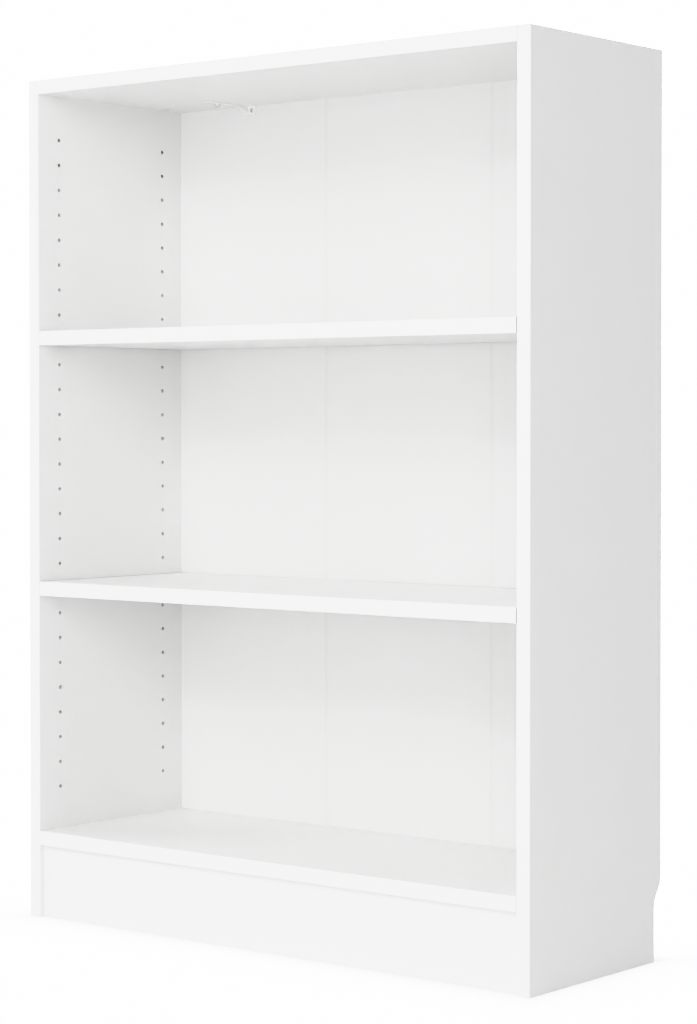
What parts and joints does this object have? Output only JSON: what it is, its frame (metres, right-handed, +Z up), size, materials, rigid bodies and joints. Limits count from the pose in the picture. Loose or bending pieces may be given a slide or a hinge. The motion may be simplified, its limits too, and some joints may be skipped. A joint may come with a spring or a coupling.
{
  "type": "bookcase with adjustable shelves",
  "caption": "Open white bookcase with drilled sides, adjustable shelves on pins, a recessed plinth, a folded thin back and a skirting recess at the rear feet.",
  "frame": {"origin": "middle of the footprint, on the floor", "axes": "+Z up, +X to the right as seen from the open front, the open front faces -Y"},
  "size_m": [0.788, 0.2696, 1.071],
  "materials": {
    "white_foil": "particleboard faced with matt white melamine foil, raw board in holes and at hidden edges",
    "white_edging": "white edge band, satin",
    "back_board": "fibreboard, white lacquer in front, brown behind",
    "fold_strip": "flexible white strip",
    "fitting_plastic": "moulded white plastic, satin",
    "cam_zinc": "die-cast zinc, dull",
    "plated_steel": "bright zinc plate",
    "nail_steel": "plain drawn steel",
    "beech": "plain beech, grooved",
    "white_enamel": "white powder coat on steel"
  },
  "bodies": {
    "carcass": {"left_side": "white_foil", "right_side": "white_foil", "left_side_edging": "white_edging", "right_side_edging": "white_edging", "top_panel": "white_foil", "bottom_panel": "white_foil", "top_panel_edging": "white_edging", "bottom_panel_edging": "white_edging", "plinth": "white_foil", "plinth_dowels": "beech", "plinth_angles": "plated_steel", "plinth_angle_screws": "plated_steel", "back_panel_left": "back_board", "back_panel_middle": "back_board", "back_panel_right": "back_board", "back_fold_strips": "fold_strip", "back_side_nails": "nail_steel", "back_top_nails": "nail_steel", "back_bottom_nails": "nail_steel", "top_connector_housings": "fitting_plastic", "bottom_connector_housings": "fitting_plastic", "top_connecting_bolts": "plated_steel", "bottom_connecting_bolts": "plated_steel", "top_dowels": "beech", "bottom_dowels": "beech", "upper_shelf_pins": "plated_steel", "lower_shelf_pins": "plated_steel", "wall_bracket_left": "white_enamel", "wall_bracket_right": "white_enamel", "wall_bracket_screws": "plated_steel"},
    "upper_shelf": {"upper_shelf": "white_foil", "upper_shelf_edging": "white_edging", "upper_shelf_sockets": "fitting_plastic"},
    "lower_shelf": {"lower_shelf": "white_foil", "lower_shelf_edging": "white_edging", "lower_shelf_sockets": "fitting_plastic"},
    "top_cam_front_left": {"top_cam_front_left": "cam_zinc"},
    "top_cam_front_right": {"top_cam_front_right": "cam_zinc"},
    "top_cam_rear_left": {"top_cam_rear_left": "cam_zinc"},
    "top_cam_rear_right": {"top_cam_rear_right": "cam_zinc"},
    "bottom_cam_front_left": {"bottom_cam_front_left": "cam_zinc"},
    "bottom_cam_front_right": {"bottom_cam_front_right": "cam_zinc"},
    "bottom_cam_rear_left": {"bottom_cam_rear_left": "cam_zinc"},
    "bottom_cam_rear_right": {"bottom_cam_rear_right": "cam_zinc"}
  },
  "joints": [
    {"name": "upper_shelf_lift", "type": "slide", "parent": "carcass", "child": "upper_shelf", "axis": [0, 0, 1], "range_m": [0, 0.256]},
    {"name": "lower_shelf_lift", "type": "slide", "parent": "carcass", "child": "lower_shelf", "axis": [0, 0, 1], "range_m": [0, 0.288]},
    {"name": "top_cam_front_left_turn", "type": "hinge", "parent": "carcass", "child": "top_cam_front_left", "pos_m": [-0.3665, -0.0978, 1.061], "axis": [0, 0, 1], "range_deg": [0, 180]},
    {"name": "top_cam_front_right_turn", "type": "hinge", "parent": "carcass", "child": "top_cam_front_right", "pos_m": [0.3665, -0.0978, 1.061], "axis": [0, 0, 1], "range_deg": [0, 180]},
    {"name": "top_cam_rear_left_turn", "type": "hinge", "parent": "carcass", "child": "top_cam_rear_left", "pos_m": [-0.3665, 0.0942, 1.061], "axis": [0, 0, 1], "range_deg": [0, 180]},
    {"name": "top_cam_rear_right_turn", "type": "hinge", "parent": "carcass", "child": "top_cam_rear_right", "pos_m": [0.3665, 0.0942, 1.061], "axis": [0, 0, 1], "range_deg": [0, 180]},
    {"name": "bottom_cam_front_left_turn", "type": "hinge", "parent": "carcass", "child": "bottom_cam_front_left", "pos_m": [-0.3665, -0.0978, 0.101], "axis": [0, 0, 1], "range_deg": [0, 180]},
    {"name": "bottom_cam_front_right_turn", "type": "hinge", "parent": "carcass", "child": "bottom_cam_front_right", "pos_m": [0.3665, -0.0978, 0.101], "axis": [0, 0, 1], "range_deg": [0, 180]},
    {"name": "bottom_cam_rear_left_turn", "type": "hinge", "parent": "carcass", "child": "bottom_cam_rear_left", "pos_m": [-0.3665, 0.0942, 0.101], "axis": [0, 0, 1], "range_deg": [0, 180]},
    {"name": "bottom_cam_rear_right_turn", "type": "hinge", "parent": "carcass", "child": "bottom_cam_rear_right", "pos_m": [0.3665, 0.0942, 0.101], "axis": [0, 0, 1], "range_deg": [0, 180]}
  ]
}
